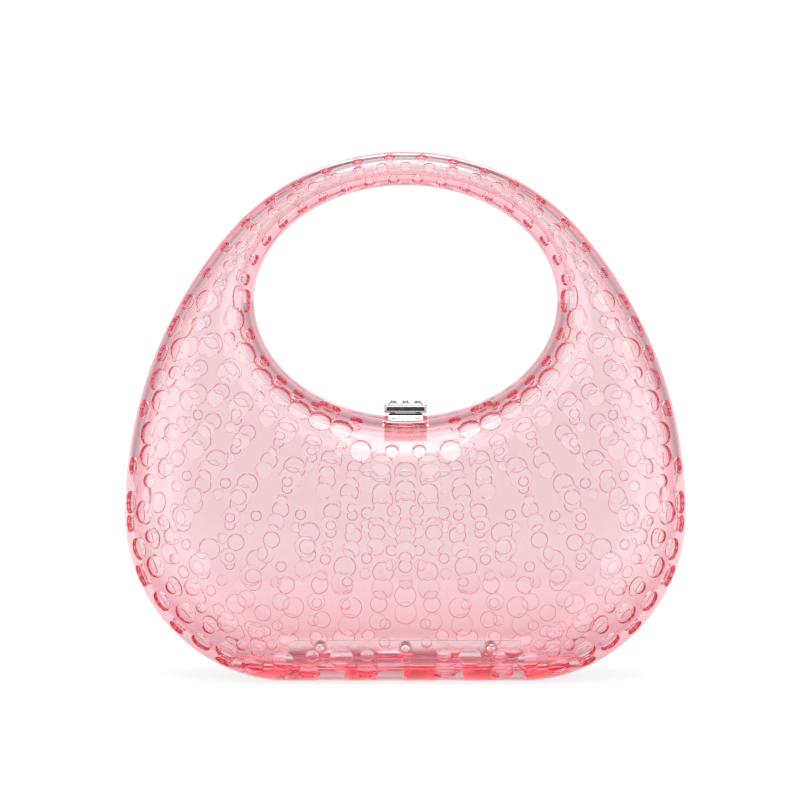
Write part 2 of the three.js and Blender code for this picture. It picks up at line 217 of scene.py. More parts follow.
PRONG_Y = 3.0
PRONG_FOOT = 91.0
PRONG_HOLE = 1.2

wedge = bar((-BOSS_HALF, BOSS_HALF), (-WEDGE_FRONT, -WEDGE_BACK), (BOSS_FOOT, WEDGE_TOP))
for corner in wedge.data.vertices:
    if corner.co.y < (TOUCH - WEDGE_FRONT) * MM and corner.co.z > (BOSS_FOOT + TOUCH) * MM:
        corner.co.z -= WEDGE_FALL * MM
combine(front_shell, [
    wedge,
    *[bar((x - POST_HALF, x + POST_HALF), (-POST_BACK, -POST_FACE), (CHANNEL_TOP, RIVET_Z))
      for x in RIVET_PLACES],
    *[rod(POST_HALF, (x, -POST_BACK, RIVET_Z), (x, -POST_FACE, RIVET_Z)) for x in RIVET_PLACES],
    bar((-BOSS_HALF, BOSS_HALF), (-BOSS_FRONT, -PART_GAP / 2), (BOSS_FOOT, BOSS_TOP), BOSS_EDGE),
], "UNION")
swing = bar((-WIDTH / 2, WIDTH / 2), (-SWING_DROP, SWING_DROP), (-SWING_DROP, HINGE_Z))
for corner in swing.data.vertices:
    corner.co.y = math.copysign(SWING_SLOPE * (HINGE_Z * MM - corner.co.z) + SWING_EDGE * MM, corner.co.y)
combine(front_shell, [
    bar((-CHANNEL_HALF, CHANNEL_HALF), (-CHANNEL_FRONT, CUT_PAST), (-CUT_PAST, CHANNEL_TOP)),
    bar((-CHANNEL_HALF, CHANNEL_HALF), (-POST_FACE, CUT_PAST), (HINGE_Z, BASE_THICK + CUT_PAST)),
    *[bar((start + WELL_WALL, start + KNUCKLE - WELL_WALL), (-WELL_FRONT, -WELL_BACK),
          (WELL_FOOT, BASE_THICK + CUT_PAST)) for start in KNUCKLE_STARTS],
    swing,
    bar((-CLASP_SEAT_HALF, CLASP_SEAT_HALF), (-CLASP_SEAT_DEPTH, CUT_PAST),
        (CLASP_SEAT_Z, CLASP_SEAT_Z + 4 * CUT_PAST)),
    *[rod(PRONG_HOLE, (x, -PRONG_Y, PRONG_FOOT - PART_GAP), (x, -PRONG_Y, CLASP_SEAT_Z + CUT_PAST))
      for x in (-PRONG_X, PRONG_X)],
    *[rod(RIVET_HOLE, (x, -POST_BACK - CUT_PAST, RIVET_Z), (x, CUT_PAST, RIVET_Z)) for x in RIVET_PLACES],
], "DIFFERENCE")

# Round flat-bottomed seats for stones cover the whole skin, empty and crisp-edged, the same left and right: a
# column in the middle, rows along the handle and the edges, and the rest strewn in four sizes. They are
# shallow on the face, deeper where the skin turns to the side, and lean a little downhill.
SEAT_SIDES = 24
SEAT_FILLET = 0.42
FACE_DEPTH = 0.55
SIDE_DEPTH = 1.5
DEPTH_POWER = 0.5
HANDLE_EASE = 0.7
HANDLE_SINK = 0.4
EASE_FROM = 110.0
SEAT_TILT = 0.1
FLAT_SLOPE = 0.08
SEAT_MARGIN = 1.2
SEAT_TURN_STEP = 0.7548776662466927
SEAT_SHARE_STEP = 0.5698402909980532
SKIN_STEP = 1e-3
MIDDLE_SEATS = (
    {"x": 5.0, "z": 86.1, "radius": 2.6}, {"x": 16.6, "z": 86.4, "radius": 4.1},
    {"x": 8.8, "z": 81.4, "radius": 4.1}, {"x": 0.0, "z": 75.0, "radius": 4.3},
    {"x": 9.6, "z": 72.6, "radius": 4.1}, {"x": 18.9, "z": 76.4, "radius": 3.4},
    {"x": 21.4, "z": 67.0, "radius": 3.6}, {"x": 8.6, "z": 64.2, "radius": 4.1},
    {"x": 0.0, "z": 65.4, "radius": 4.0}, {"x": 14.6, "z": 59.0, "radius": 2.5},
    {"x": 4.3, "z": 57.2, "radius": 2.7}, {"x": 10.9, "z": 51.4, "radius": 3.3},
    {"x": 0.0, "z": 49.7, "radius": 4.0}, {"x": 5.4, "z": 44.6, "radius": 2.2},
    {"x": 0.0, "z": 38.4, "radius": 2.7}, {"x": 0.0, "z": 27.0, "radius": 4.2},
)
HANDLE_ROWS = (
    {"share": 0.16, "start": 6.2, "spacing": 12.4}, {"share": 0.46, "start": 0.0, "spacing": 9.8},
    {"share": 0.85, "start": 5.5, "spacing": 11.0},
)
HANDLE_SEAT = 2.15
HANDLE_BAND = 24.0
EDGE_ROWS = (
    {"from_edge": 3.2, "from_rim": None, "radius": 3.3, "start": 4.0, "spacing": 22.0},
    {"from_edge": 5.6, "from_rim": None, "radius": 4.2, "start": 15.0, "spacing": 22.0},
    {"from_edge": 10.4, "from_rim": None, "radius": 4.2, "start": 4.5, "spacing": 22.0},
    {"from_edge": 12.6, "from_rim": None, "radius": 2.6, "start": 15.5, "spacing": 22.0},
    {"from_edge": None, "from_rim": 2.6, "radius": 2.4, "start": 10.5, "spacing": 24.0},
    {"from_edge": None, "from_rim": 6.6, "radius": 4.2, "start": 22.0, "spacing": 24.0},
)
ROW_MIDDLE = 0.3
ROW_OVERLAP = 1.2
STREWN_SEATS = (
    {"radius": 4.3, "pitch": 27.0, "gap": 3.0, "middle": 13.5, "band": 26.0, "edge": 0.0, "tries": 1500},
    {"radius": 4.1, "pitch": 17.5, "gap": 1.0, "middle": 4.6, "band": 25.0, "edge": 14.0, "tries": 3000},
    {"radius": 3.3, "pitch": 12.0, "gap": 0.9, "middle": 3.8, "band": 22.0, "edge": 12.0, "tries": 5000},
    {"radius": 2.1, "pitch": 10.5, "gap": 1.0, "middle": 2.6, "band": 22.0, "edge": 12.0, "tries": 6000},
)
STREWN_RIM = 0.8


def seat_places(turn, share):
    """Middle, outward normal and band of seats on the skin."""
    middle, band = skin_at(turn, share)
    along = skin_at(np.minimum(turn + SKIN_STEP, 1), share)[0] - middle
    across = skin_at(turn, np.minimum(share + SKIN_STEP, 1))[0] - middle
    normal = np.cross(along, across)
    return middle, normal / np.linalg.norm(normal, axis=-1, keepdims=True), band


def clear_of(seat, others, gap):
    """Whether a seat keeps at least the gap to all the others."""
    return all(np.linalg.norm(seat[0] - other[0]) > seat[2] + other[2] + gap for other in others)


def has_room(middles, normals, radius):
    """Which seats keep clear of the foot, the joint between the halves and the boss."""
    lowest = middles[:, 2] - radius * np.sqrt(1 - normals[:, 2] ** 2)
    nearest = -middles[:, 1] - radius * np.sqrt(1 - normals[:, 1] ** 2)
    off_boss = (middles[:, 0] > BOSS_HALF + 2 * radius) | (middles[:, 2] < BOSS_FOOT - 2 * radius)
    return (lowest > SEAT_MARGIN) & (nearest > SEAT_MARGIN) & off_boss


def strewn(run, others):
    """Seats of one size on the right, spread by a low-discrepancy walk and clear of the seats before."""
    count = np.arange(1, run["tries"] + 1)
    shares, radius = count * SEAT_SHARE_STEP % 1, run["radius"]
    middles, normals, bands = seat_places(0.5 * (count * SEAT_TURN_STEP % 1), shares)
    fits = (bands > run["band"]) & (middles[:, 0] > run["middle"]) & has_room(middles, normals, radius)
    fits &= (shares * bands > run["edge"]) & ((1 - shares) * bands > run["edge"] * STREWN_RIM)
    found = []
    for middle, normal in zip(middles[fits], normals[fits]):
        seat = (middle, normal, radius)
        if clear_of(seat, others, run["gap"]) and clear_of(seat, found, run["pitch"] - 2 * radius):
            found.append(seat)
    return found


# The middle seats are looked up on a fine grid over the lower right quarter of the skin.
grid_turns, grid_shares = np.meshgrid(np.linspace(0, 0.25, 400), np.linspace(0.02, 0.98, 600))
grid, grid_normals, _ = seat_places(grid_turns.ravel(), grid_shares.ravel())
middle_seats = []
for row in MIDDLE_SEATS:
    at = np.argmin(np.hypot(grid[:, 0] - row["x"], grid[:, 2] - row["z"]))
    middle_seats.append((grid[at], grid_normals[at], row["radius"]))
outline_length = 2 * (CORNER_X + CORNER_RADIUS * math.pi / 2 + SIDE_RADIUS * JOIN_ANGLE
                      + TOP_RADIUS * (math.pi / 2 - JOIN_ANGLE))
handle_seats = []
for row in HANDLE_ROWS:
    runs = np.arange(row["start"], outline_length / 4, row["spacing"])
    middles, normals, bands = seat_places(0.5 - runs / outline_length, np.full(len(runs), row["share"]))
    handle_seats += [(m, n, HANDLE_SEAT) for m, n, band in zip(middles, normals, bands) if band < HANDLE_BAND]
sets = [strewn(STREWN_SEATS[0], []), middle_seats, handle_seats]
for row in EDGE_ROWS:
    runs, radius = np.arange(row["start"], outline_length / 2, row["spacing"]), row["radius"]
    _, bands = skin_at(runs / outline_length, 0.0)
    share = row["from_edge"] / bands if row["from_edge"] else 1 - row["from_rim"] / bands
    middles, normals, bands = seat_places(runs / outline_length, share)
    fits = (bands > HANDLE_BAND) & (middles[:, 0] > radius + ROW_MIDDLE) & has_room(middles, normals, radius)
    done = [seat for found in sets for seat in found]
    row_seats = [(middle, normal, radius) for middle, normal in zip(middles[fits], normals[fits])]
    sets.append([seat for seat in row_seats if clear_of(seat, done, -ROW_OVERLAP)])
for run in STREWN_SEATS[1:]:
    sets.append(strewn(run, [seat for done in sets for seat in done]))

# One cutter is modelled for each size, a disc with a filleted foot, and copied to every seat. Seats that
# touch are cut in different layers, each layer a hair shallower than the last.
CUTTER_HEIGHT = 2.0
MIDDLE_LINE = 0.1
LAYER_GAP = 0.2
LAYER_STEP = 0.01


def pick(piece):
    """Makes a piece the active one and the only one selected."""
    bpy.ops.object.select_all(action="DESELECT")
    piece.select_set(True)
    bpy.context.view_layer.objects.active = piece


def round_edge(piece, where, radius, segments=5):
    """Rounds the edges between the corners that pass a test, radius in mm."""
    pick(piece)
    bpy.ops.object.mode_set(mode="EDIT")
    bpy.ops.mesh.select_mode(type="VERT")
    bpy.ops.mesh.select_all(action="DESELECT")
    bpy.ops.object.mode_set(mode="OBJECT")
    for corner in piece.data.vertices:
        corner.select = where(corner.co / MM)
    bpy.ops.object.mode_set(mode="EDIT")
    bpy.ops.mesh.bevel(offset=radius * MM, segments=segments, affect="EDGES")
    bpy.ops.object.mode_set(mode="OBJECT")


flip = np.array([-1.0, 1.0, 1.0])
layers = []
for middle, normal, radius in [seat for found in sets for seat in found]:
    downhill = normal * np.array([1.0, 0.0, 1.0])
    axis = normal + SEAT_TILT * downhill / max(np.linalg.norm(downhill), FLAT_SLOPE)
    axis /= np.linalg.norm(axis)
    pair = [(middle, axis, radius)]
    if middle[0] > MIDDLE_LINE:
        pair.append((middle * flip, axis * flip, radius))
    for layer in layers:
        if all(clear_of(seat, layer, LAYER_GAP) for seat in pair):
            layer += pair
            break
    else:
        layers.append(pair)
cutters = {}
for number, layer in enumerate(layers):
    tools = []
    for middle, axis, radius in layer:
        if radius not in cutters:
            bpy.ops.object.select_all(action="DESELECT")
            bpy.ops.mesh.primitive_cylinder_add(vertices=SEAT_SIDES, radius=radius * MM,
                                                depth=CUTTER_HEIGHT * MM,
                                                location=(0, 0, (CUTTER_HEIGHT / 2 - FACE_DEPTH) * MM))
            bpy.ops.object.transform_apply(location=True, rotation=True, scale=True)
            cutter = bpy.context.object
            round_edge(cutter, lambda c: c.z < 0, SEAT_FILLET, segments=2)
            cutters[radius] = cutter.data
            bpy.data.objects.remove(cutter)
        tool = bpy.data.objects.new("seat", cutters[radius].copy())
        bpy.context.collection.objects.link(tool)
        climb = min(max((middle[2] - EASE_FROM) / (HEIGHT - EASE_FROM), 0), 1)
        sink = SIDE_DEPTH * (1 - abs(axis[1])) ** DEPTH_POWER * (1 - HANDLE_EASE * climb)
        sink += HANDLE_SINK * climb - LAYER_STEP * number
        for corner in tool.data.vertices:
            corner.co.z -= sink * MM if corner.co.z < 0 else 0
        tool.data.transform(Vector(axis).to_track_quat("Z", "Y").to_matrix().to_4x4())
        tool.data.transform(Matrix.Translation(Vector(middle) * MM))
        tools.append(tool)
    bpy.ops.object.select_all(action="DESELECT")
    for tool in tools:
        tool.select_set(True)
    bpy.context.view_layer.objects.active = tools[0]
    bpy.ops.object.join()
    combine(front_shell, [tools[0]], "DIFFERENCE")
for cutter in cutters.values():
    bpy.data.meshes.remove(cutter)

# Corners that the cuts leave in the middle of a straight edge are dissolved.
pick(front_shell)
bpy.ops.object.mode_set(mode="EDIT")
bpy.ops.mesh.select_mode(type="VERT")
bpy.ops.mesh.select_all(action="DESELECT")
bpy.ops.mesh.select_by_pole_count(pole_count=2, type="EQUAL", exclude_nonmanifold=False)
bpy.ops.mesh.dissolve_verts()
bpy.ops.object.mode_set(mode="OBJECT")

# The seat walls are marked on the mesh for painted shade: the surface colour gives them a deeper rose than
# the flats between them.
WALL_REACH = 0.05
FLOOR_FACING = 0.98
SHELL_SMOOTH = 50.0


def smooth(piece, angle):
    """Smooths a finished piece where its faces meet at less than the angle, and keeps its flats flat."""
    pick(piece)
    bpy.ops.object.shade_smooth_by_angle(angle=math.radians(angle))
    step = piece.modifiers.new("flat_faces", "WEIGHTED_NORMAL")
    step.keep_sharp, step.weight = True, 100
    bpy.ops.object.modifier_apply(modifier=step.name)


def turn_round(piece, name):
    """A copy of a finished piece for the back half, turned about the upright axis."""
    twin = piece.copy()
    twin.data = piece.data.copy()
    twin.name = twin.data.name = name
    twin.data.transform(Matrix.Rotation(math.pi, 4, "Z"))
    bpy.context.collection.objects.link(twin)
    return twin


faces = front_shell.data.polygons
face_middles, face_normals = np.empty(len(faces) * 3), np.empty(len(faces) * 3)
faces.foreach_get("center", face_middles)
faces.foreach_get("normal", face_normals)
face_middles, face_normals = face_middles.reshape(-1, 3) / MM, face_normals.reshape(-1, 3)
on_wall = np.zeros(len(faces))
for middle, axis, radius in [seat for layer in layers for seat in layer]:
    rise = (face_middles - middle) @ axis
    away = np.linalg.norm(face_middles - middle - rise[:, None] * axis, axis=1)
    near = (away > radius - SEAT_FILLET) & (away < radius + WALL_REACH)
    near &= np.abs(rise) < FACE_DEPTH + SIDE_DEPTH
    on_wall[near & (np.abs(face_normals @ axis) < FLOOR_FACING)] = 1
front_shell.data.attributes.new("seat_wall", "FLOAT", "FACE").data.foreach_set("value", on_wall)
smooth(front_shell, SHELL_SMOOTH)
back_shell = turn_round(front_shell, "back_shell_moulding")


def linear(colour):
    """An sRGB hex colour as linear red, green, blue and alpha."""
    parts = [int(colour[i:i + 2], 16) / 255 for i in (1, 3, 5)]
    return [c / 12.92 if c <= 0.04045 else ((c + 0.055) / 1.055) ** 2.4 for c in parts] + [1.0]


def new_material(name):
    """A material with an empty node tree, and the tree."""
    material = bpy.data.materials.new(name)
    material.use_nodes = True
    material.node_tree.nodes.clear()
    return material, material.node_tree


def add(tree, kind, inputs=(), **settings):
    """Adds a node with its settings; an input is a value or another node's output."""
    made = tree.nodes.new(kind)
    for name, value in settings.items():
        setattr(made, name, value)
    for name, value in dict(inputs).items():
        if isinstance(value, bpy.types.NodeSocket):
            tree.links.new(value, made.inputs[name])
        else:
            made.inputs[name].default_value = value
    return made


def fix(piece, material, body, node):
    """Gives a finished piece its material and its place on a CAD body, where it stands for a CAD node."""
    piece.data.materials.clear()
    piece.data.materials.append(material)
    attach(piece, body)
    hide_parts(node)


# Acrylic cast in a mould, pink in the mass and polished: pale where the eye goes straight through a wall and
# deep rose where it runs along one, with faint waves about 22 mm long from the mould. The surface colour also
# carries painted shade: a deeper rose on skin that turns to the side, deepest near the foot, and on the seat
# walls, and a painted pink shadow low on the back half.
FACE_TINT = "#f5eff0"
SIDE_PAINTED_SHADE = "#f2c3cd"
FOOT_PAINTED_SHADE = "#f096a9"
BACK_FOOT_PAINTED_SHADOW = "#efc3cb"
SEAT_WALL_PAINTED_SHADE = "#f1cdd4"
MASS_TINT = "#fd98ae"

acrylic, tree = new_material("pink_cast_acrylic")
place = add(tree, "ShaderNodeTexCoord")
waves = add(tree, "ShaderNodeTexNoise", {"Vector": place.outputs["Object"], "Scale": 45.0, "Detail": 1.0})
relief = add(tree, "ShaderNodeBump", {"Height": waves.outputs["Fac"], "Strength": 0.15, "Distance": 0.0004})
height = add(tree, "ShaderNodeSeparateXYZ", {"Vector": place.outputs["Object"]})
foot = add(tree, "ShaderNodeMapRange", {"Value": height.outputs["Z"], "From Min": 0.05, "From Max": 0.002},
           interpolation_type="SMOOTHSTEP")
# Painted pink shadow: the back half is coloured a deeper pink near the foot.
behind = add(tree, "ShaderNodeMath", {0: height.outputs["Y"], 1: 0.0}, operation="GREATER_THAN")
back_foot = add(tree, "ShaderNodeMath", {0: foot.outputs["Result"], 1: behind.outputs["Value"]},
                operation="MULTIPLY")
facing = add(tree, "ShaderNodeSeparateXYZ", {"Vector": place.outputs["Normal"]})
turned = add(tree, "ShaderNodeMath", {0: facing.outputs["Y"]}, operation="ABSOLUTE")
# Painted shade: a deeper rose where the skin turns to the side, deepest near the foot.
edge = add(tree, "ShaderNodeMapRange", {"Value": turned.outputs["Value"], "From Min": 0.6, "From Max": 0.0},
           interpolation_type="SMOOTHSTEP")
rose = add(tree, "ShaderNodeMix", {"Factor": foot.outputs["Result"], "A": linear(SIDE_PAINTED_SHADE),
                                  "B": linear(FOOT_PAINTED_SHADE)}, data_type="RGBA")
sides = add(tree, "ShaderNodeMix", {"Factor": edge.outputs["Result"], "A": linear(FACE_TINT),
                                   "B": rose.outputs["Result"]}, data_type="RGBA")
flats = add(tree, "ShaderNodeMix", {"Factor": back_foot.outputs["Value"], "A": sides.outputs["Result"],
                                   "B": linear(BACK_FOOT_PAINTED_SHADOW)}, data_type="RGBA")
# Painted shade: the seat walls are coloured a deeper rose than the flats.
seat_wall = add(tree, "ShaderNodeAttribute", attribute_name="seat_wall")
tone = add(tree, "ShaderNodeMix", {"Factor": seat_wall.outputs["Fac"], "A": flats.outputs["Result"],
                                  "B": linear(SEAT_WALL_PAINTED_SHADE)}, data_type="RGBA")
surface = add(tree, "ShaderNodeBsdfPrincipled", {
    "Base Color": tone.outputs["Result"], "Roughness": 0.0, "IOR": 1.49, "Transmission Weight": 1.0,
    "Normal": relief.outputs["Normal"],
})
inside = add(tree, "ShaderNodeVolumeAbsorption", {"Color": linear(MASS_TINT), "Density": 58.0})
add(tree, "ShaderNodeOutputMaterial", {"Surface": surface.outputs["BSDF"],
                                       "Volume": inside.outputs["Volume"]})
for shell, side in ((front_shell, "front"), (back_shell, "back")):
    fix(shell, acrylic, f"{side}_half", f"{side}_shell")

# The hinge leaves.
# Two upright nickel-plated steel plates in the base, back to back across the joint, their top corners
# rounded. Every second knuckle along the foot belongs to one leaf, rolled round the common pin.
KNUCKLE_RADIUS = 2.3
KNUCKLE_GAP = 0.3
HINGE_BORE = 1.05
LEAF_FOOT = 5.6
LEAF_TOP = 13.0
LEAF_CORNER = 2.0
LEAF_EDGE = 0.12
LEAF_FRONT, LEAF_BACK = -PART_GAP / 2 - LEAF_THICK, -PART_GAP / 2
SHARP_ANGLE = 35.0
METAL_SMOOTH = 40.0
MERGE = 0.002


def ease(piece, width):
    """Breaks the sharp edges of a finished metal piece, width in mm, and smooths its round faces."""
    pick(piece)
    step = piece.modifiers.new("ease", "BEVEL")
    step.width, step.segments = width * MM, 2
    step.limit_method, step.angle_limit = "ANGLE", math.radians(SHARP_ANGLE)
    bpy.ops.object.modifier_apply(modifier=step.name)
    bpy.ops.object.mode_set(mode="EDIT")
    bpy.ops.mesh.select_all(action="SELECT")
    bpy.ops.mesh.remove_doubles(threshold=MERGE * MM)
    bpy.ops.mesh.dissolve_degenerate(threshold=MERGE * MM)
    bpy.ops.object.mode_set(mode="OBJECT")
    smooth(piece, METAL_SMOOTH)


front_leaf = bar((-HINGE_LENGTH / 2, HINGE_LENGTH / 2), (LEAF_FRONT, LEAF_BACK), (LEAF_FOOT, LEAF_TOP))
for side in (-1, 1):
    round_edge(front_leaf, lambda c: c.z > LEAF_TOP - TOUCH and side * c.x > HINGE_LENGTH / 2 - TOUCH,
               LEAF_CORNER)
for knuckle_start in KNUCKLE_STARTS:
    start = knuckle_start + KNUCKLE_GAP / 2
    end = start + KNUCKLE - KNUCKLE_GAP
    combine(front_leaf, [
        bar((start, end), (LEAF_FRONT, LEAF_BACK), (HINGE_Z, LEAF_FOOT + LEAF_THICK)),
        rod(KNUCKLE_RADIUS, (start, 0, HINGE_Z), (end, 0, HINGE_Z), sides=40),
    ], "UNION")
combine(front_leaf, [
    rod(HINGE_BORE, (-HINGE_LENGTH, 0, HINGE_Z), (HINGE_LENGTH, 0, HINGE_Z)),
    *[rod(RIVET_HOLE, (x, LEAF_FRONT - CUT_PAST, RIVET_Z), (x, CUT_PAST, RIVET_Z)) for x in RIVET_PLACES],
], "DIFFERENCE")
ease(front_leaf, LEAF_EDGE)
front_leaf.name = front_leaf.data.name = "front_hinge_plate"
back_leaf = turn_round(front_leaf, "back_hinge_plate")

# Bright nickel plate over steel: a warm silver mirror, faintly clouded by polishing in patches of 1 to 2 mm,
# with wiping marks about 3 mm long, drawn coarser than real ones so that they show.
nickel, tree = new_material("bright_nickel_plate")
place = add(tree, "ShaderNodeTexCoord")
clouds = add(tree, "ShaderNodeTexNoise", {"Vector": place.outputs["Object"], "Scale": 700.0, "Detail": 4.0})
marks = add(tree, "ShaderNodeMapping", {"Vector": place.outputs["Object"], "Scale": (300.0, 6000.0, 6000.0)})
wiping = add(tree, "ShaderNodeTexNoise", {"Vector": marks.outputs["Vector"], "Scale": 1.0, "Detail": 2.0})
shine = add(tree, "ShaderNodeMapRange", {"Value": clouds.outputs["Fac"], "From Min": 0.3, "From Max": 0.7,
                                        "To Min": 0.04, "To Max": 0.12})
tone = add(tree, "ShaderNodeMix", {"Factor": clouds.outputs["Fac"], "A": linear("#e6e3e0"),
                                  "B": linear("#f3f1ee")}, data_type="RGBA")
relief = add(tree, "ShaderNodeBump", {"Height": wiping.outputs["Fac"], "Strength": 0.03, "Distance": 0.0001})
surface = add(tree, "ShaderNodeBsdfPrincipled", {
    "Base Color": tone.outputs["Result"], "Metallic": 1.0, "Roughness": shine.outputs["Result"],
    "Normal": relief.outputs["Normal"],
})
add(tree, "ShaderNodeOutputMaterial", {"Surface": surface.outputs["BSDF"]})

# The leaves are satin: the same plate over sheet brushed in strokes about 7 mm long, so they scatter light
# into a pale, even grey.
satin, tree = new_material("satin_nickel_plate")
place = add(tree, "ShaderNodeTexCoord")
strokes = add(tree, "ShaderNodeMapping", {"Vector": place.outputs["Object"],
                                         "Scale": (150.0, 4000.0, 4000.0)})
brushing = add(tree, "ShaderNodeTexNoise", {"Vector": strokes.outputs["Vector"], "Scale": 1.0, "Detail": 3.0})
shine = add(tree, "ShaderNodeMapRange", {"Value": brushing.outputs["Fac"], "From Min": 0.3, "From Max": 0.7,
                                        "To Min": 0.1, "To Max": 0.2})
tone = add(tree, "ShaderNodeMix", {"Factor": brushing.outputs["Fac"], "A": linear("#ecebe9"),
                                  "B": linear("#faf9f8")}, data_type="RGBA")
surface = add(tree, "ShaderNodeBsdfPrincipled", {
    "Base Color": tone.outputs["Result"], "Metallic": 1.0, "Roughness": shine.outputs["Result"],
})
add(tree, "ShaderNodeOutputMaterial", {"Surface": surface.outputs["BSDF"]})
for leaf, side in ((front_leaf, "front"), (back_leaf, "back")):
    fix(leaf, satin, f"{side}_half", f"{side}_hinge_leaf")

# The hinge rivets.
# Six turned rivets of plated steel, three to a leaf. Each goes from the inside through its acrylic post and
# the leaf, with a low domed head on the post.
RIVET_SHANK = 1.0
RIVET_HEAD = 1.9
RIVET_HEAD_THICK = 0.8
RIVET_DOME = 0.76
RIVET_EDGE = 0.06
HEAD_SEAT = -POST_BACK - SEATING_GAP

for side, spin in (("front", 0.0), ("back", math.pi)):
    for number, x in enumerate(RIVET_PLACES):
        rivet = rod(RIVET_HEAD, (x, HEAD_SEAT - RIVET_HEAD_THICK, RIVET_Z), (x, HEAD_SEAT, RIVET_Z), sides=36)
        round_edge(rivet, lambda c: c.y < HEAD_SEAT - RIVET_HEAD_THICK / 2, RIVET_DOME)
        shank = rod(RIVET_SHANK, (x, HEAD_SEAT - SEATING_GAP, RIVET_Z), (x, -PART_GAP, RIVET_Z), sides=28)
        combine(rivet, [shank], "UNION")
        rivet.data.transform(Matrix.Rotation(spin, 4, "Z"))
        ease(rivet, RIVET_EDGE)
        rivet.name = rivet.data.name = f"{side}_rivet_{number + 1}"
        fix(rivet, nickel, f"{side}_half", f"{side}_hinge_rivet_{number + 1}")

# The hinge pin.
# A straight plated steel wire through all the knuckles, its two ends chamfered so that it can be driven in.
HINGE_PIN = 0.8
HINGE_PIN_EDGE = 0.2

pin = rod(HINGE_PIN, (-HINGE_LENGTH / 2, 0, HINGE_Z), (HINGE_LENGTH / 2, 0, HINGE_Z), sides=28)
ease(pin, HINGE_PIN_EDGE)
pin.name = pin.data.name = "hinge_wire"
fix(pin, nickel, "back_half", "hinge_pin")

# The clasp catch.
# A stepped plate of plated metal on the front half, sunk between the horns of the boss and held by two
# prongs that go down into it. Its front leans back over two small notches, and the latch closes on its step.
PLATE_HALF = 6.2
PLATE_FOOT = CLASP_SEAT_Z + SEATING_GAP
PLATE_TOP = 98.1
PLATE_JOINT = 0.3
CATCH_FRONT = 7.2
CATCH_TOP = 99.1
CATCH_EDGE = 0.08
STEP_FRONT = 6.4
PRONG_RADIUS = 0.9
LIP_SLOPE = 0.75
DRAFT = 0.14
NOTCH_RADIUS = 1.05
NOTCH_X = 4.4
NOTCH_FRONT, NOTCH_BACK = -8.0, -5.4
NOTCH_Z = PLATE_FOOT - SEATING_GAP

catch = bar((-PLATE_HALF, PLATE_HALF), (-CATCH_FRONT, -PLATE_JOINT), (PLATE_FOOT, PLATE_TOP))
for corner in catch.data.vertices:
    if corner.co.y < (TOUCH - CATCH_FRONT) * MM and corner.co.z > (PLATE_FOOT + TOUCH) * MM:
        corner.co.y += LIP_SLOPE * MM
step = bar((-PLATE_HALF, PLATE_HALF), (-STEP_FRONT, -PLATE_JOINT), (PLATE_TOP - SEATING_GAP, CATCH_TOP))
for corner in step.data.vertices:
    if corner.co.y < (TOUCH - STEP_FRONT) * MM:
        corner.co.y += DRAFT * (corner.co.z - PLATE_TOP * MM)
combine(catch, [
    step,
    *[rod(PRONG_RADIUS, (x, -PRONG_Y, PRONG_FOOT), (x, -PRONG_Y, PLATE_TOP - SEATING_GAP))
      for x in (-PRONG_X, PRONG_X)],
], "UNION")
combine(catch, [rod(NOTCH_RADIUS, (x, NOTCH_FRONT, NOTCH_Z), (x, NOTCH_BACK, NOTCH_Z), sides=24)
                for x in (-NOTCH_X, NOTCH_X)], "DIFFERENCE")
ease(catch, CATCH_EDGE)
catch.name = catch.data.name = "catch_plate"
fix(catch, nickel, "front_half", "clasp_catch")

# The clasp bracket.
# The matching plate on the back half, held by two prongs as well. Two round-topped ears stand up from it and
# carry the latch between them on a short pin.
PIVOT_Y = 3.0
PIVOT_Z = 100.6
EAR_RADIUS = 1.4
EAR_SPAN = (3.8, 5.7)
BRACKET_BACK = 4.6
BRACKET_EDGE = 0.15
CLASP_BORE = 0.9

bracket = bar((-PLATE_HALF, PLATE_HALF), (PLATE_JOINT, BRACKET_BACK), (PLATE_FOOT, PLATE_TOP))
for side in (-1, 1):
    span = sorted(side * end for end in EAR_SPAN)
    prong_x = side * PRONG_X
    combine(bracket, [
        bar(span, (PIVOT_Y - EAR_RADIUS, PIVOT_Y + EAR_RADIUS), (PLATE_TOP - SEATING_GAP, PIVOT_Z)),
        rod(EAR_RADIUS, (span[0], PIVOT_Y, PIVOT_Z), (span[1], PIVOT_Y, PIVOT_Z), sides=36),
        rod(PRONG_RADIUS, (prong_x, PRONG_Y, PRONG_FOOT), (prong_x, PRONG_Y, PLATE_TOP - SEATING_GAP)),
    ], "UNION")
combine(bracket, [rod(CLASP_BORE, (-WIDTH, PIVOT_Y, PIVOT_Z), (WIDTH, PIVOT_Y, PIVOT_Z))], "DIFFERENCE")
ease(bracket, BRACKET_EDGE)
bracket.name = bracket.data.name = "bracket_plate"
fix(bracket, nickel, "back_half", "clasp_bracket")

# The clasp pin.
# A short plated steel wire with chamfered ends, driven through both ears, on which the latch turns.
CLASP_PIN = 0.6
CLASP_PIN_EDGE = 0.12

clasp_pin = rod(CLASP_PIN, (-EAR_SPAN[1], PIVOT_Y, PIVOT_Z), (EAR_SPAN[1], PIVOT_Y, PIVOT_Z), sides=24)
ease(clasp_pin, CLASP_PIN_EDGE)
clasp_pin.name = clasp_pin.data.name = "latch_wire"
fix(clasp_pin, nickel, "back_half", "clasp_pin")

